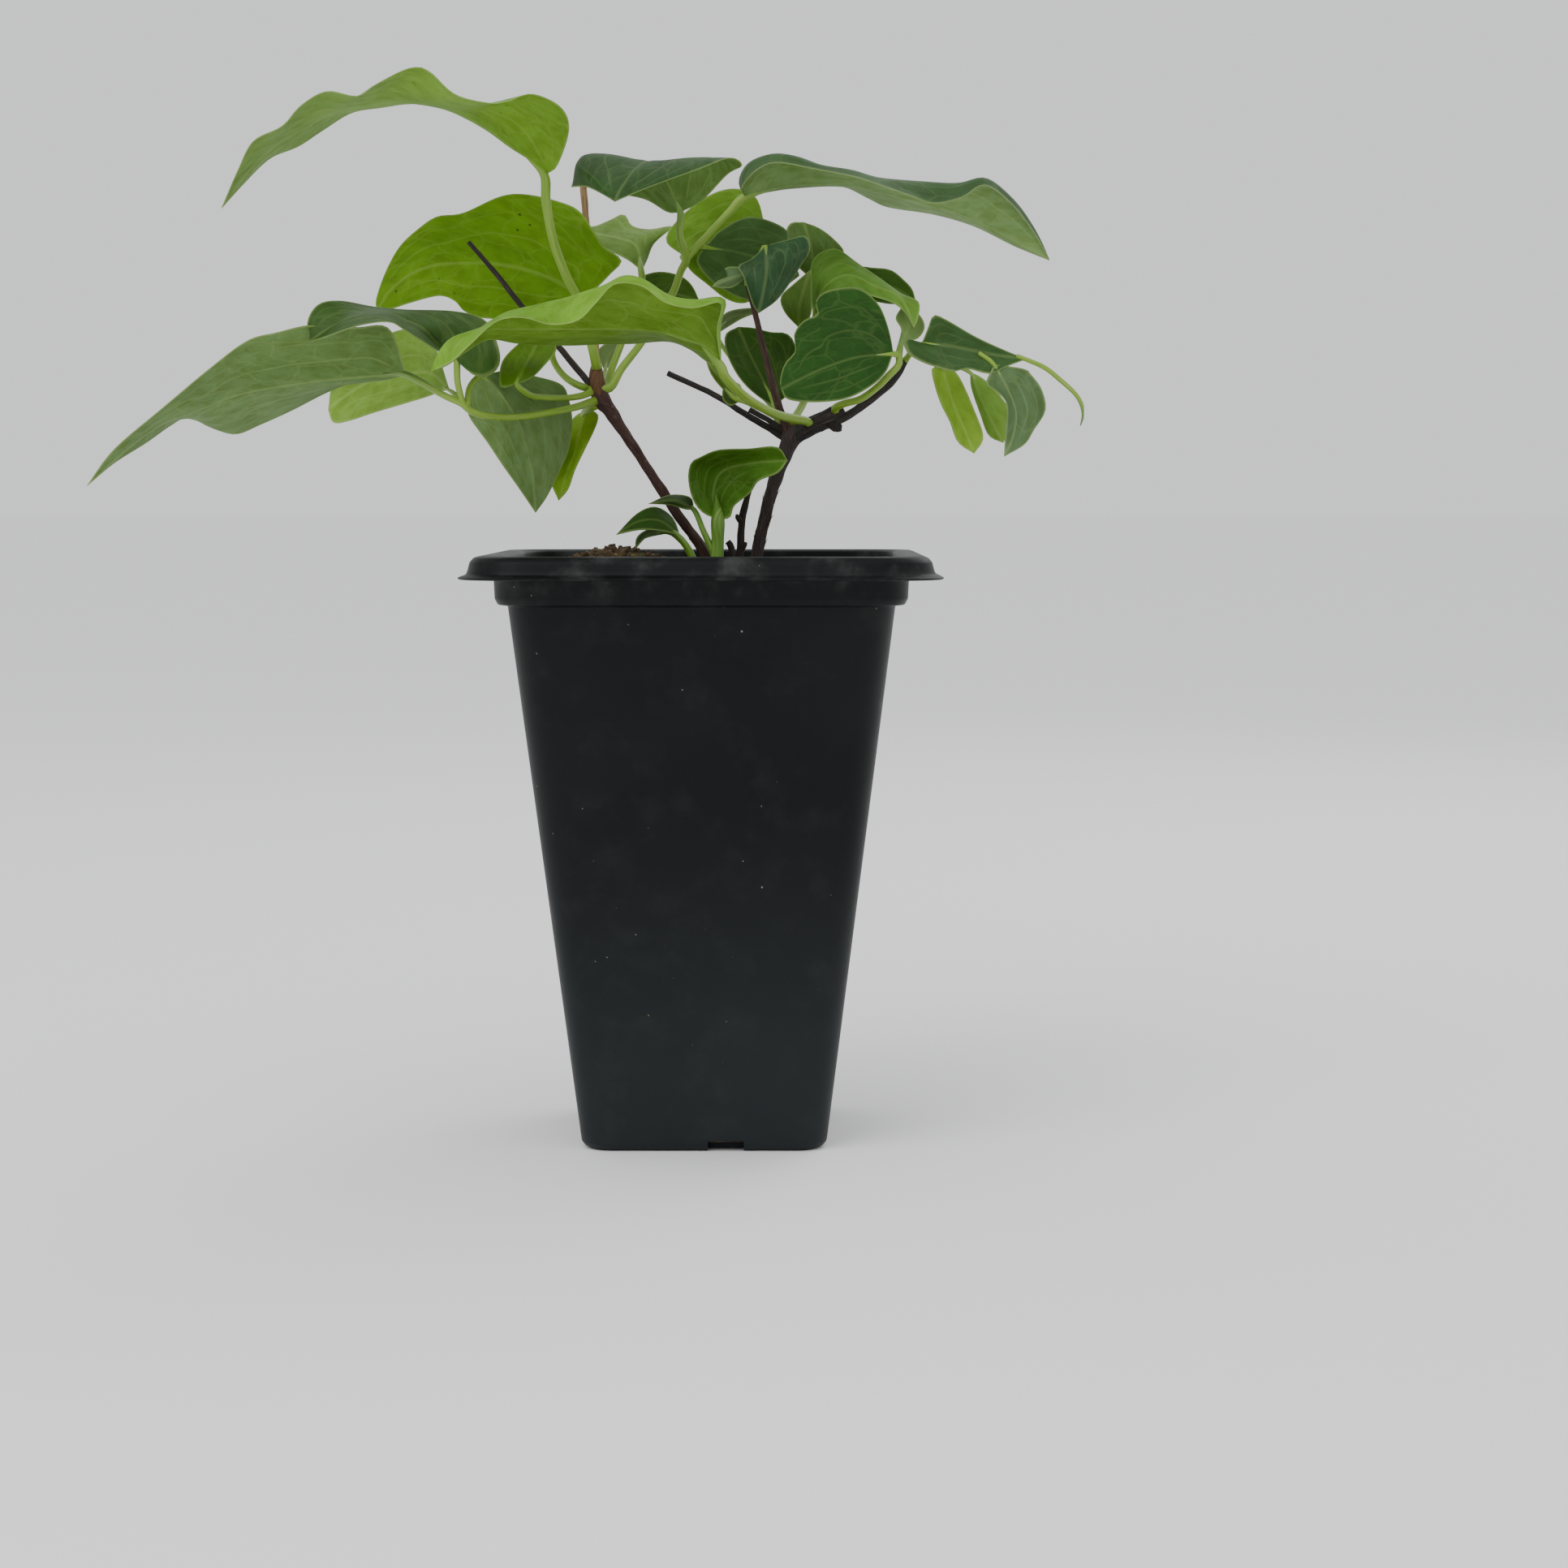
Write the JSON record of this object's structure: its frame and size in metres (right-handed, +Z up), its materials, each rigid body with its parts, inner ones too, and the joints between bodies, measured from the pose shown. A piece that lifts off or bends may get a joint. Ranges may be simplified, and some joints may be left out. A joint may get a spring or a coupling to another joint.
{
  "type": "potted clematis",
  "caption": "Young clematis vine with woody canes, arching pointed leaves and two basal shoots, rooted in potting mix in a tall square tapered nursery pot.",
  "frame": {"origin": "Centre of the underside of the pot's floor, where the pot stands", "axes": "+Z up along the pot's axis, -Y towards the front of the plant, +X to the right of the front view"},
  "size_m": [0.2162, 0.1044, 0.2348],
  "materials": {
    "pot": "satin",
    "potting_mix": "crumbly",
    "bark_left": "matte",
    "bark_right": "matte",
    "bark_stub": "matte",
    "leaf_spray_lower_left": "satin",
    "leaf_inner_left": "satin",
    "leaf_upper_left": "satin",
    "leaf_middle_left": "satin",
    "leaf_pair_back": "satin",
    "leaf_spray_top": "satin",
    "leaf_hanging_left": "satin",
    "leaf_small_left": "satin",
    "leaf_front": "satin",
    "leaf_spray_right_back": "satin",
    "leaf_behind_twig": "satin",
    "leaf_heart_right": "satin",
    "leaf_spray_far_right": "satin",
    "leaf_pair_fork": "satin",
    "young_leaves_middle": "satin",
    "basal_shoot_front": "satin",
    "basal_shoot_left": "satin"
  },
  "bodies": {
    "root": {"pot": "pot", "potting_mix": "potting_mix", "cane_left": "bark_left", "cane_right": "bark_right", "cane_stub_tall": "bark_stub", "cane_stub_short": "bark_stub", "leaf_spray_lower_left": "leaf_spray_lower_left", "leaf_inner_left": "leaf_inner_left", "leaf_upper_left": "leaf_upper_left", "leaf_middle_left": "leaf_middle_left", "leaf_pair_back": "leaf_pair_back", "leaf_spray_top": "leaf_spray_top", "leaf_hanging_left": "leaf_hanging_left", "leaf_small_left": "leaf_small_left", "leaf_front": "leaf_front", "leaf_spray_right_back": "leaf_spray_right_back", "leaf_behind_twig": "leaf_behind_twig", "leaf_heart_right": "leaf_heart_right", "leaf_spray_far_right": "leaf_spray_far_right", "leaf_pair_fork": "leaf_pair_fork", "young_leaves_middle": "young_leaves_middle", "basal_shoot_front": "basal_shoot_front", "basal_shoot_left": "basal_shoot_left"}
  },
  "joints": []
}
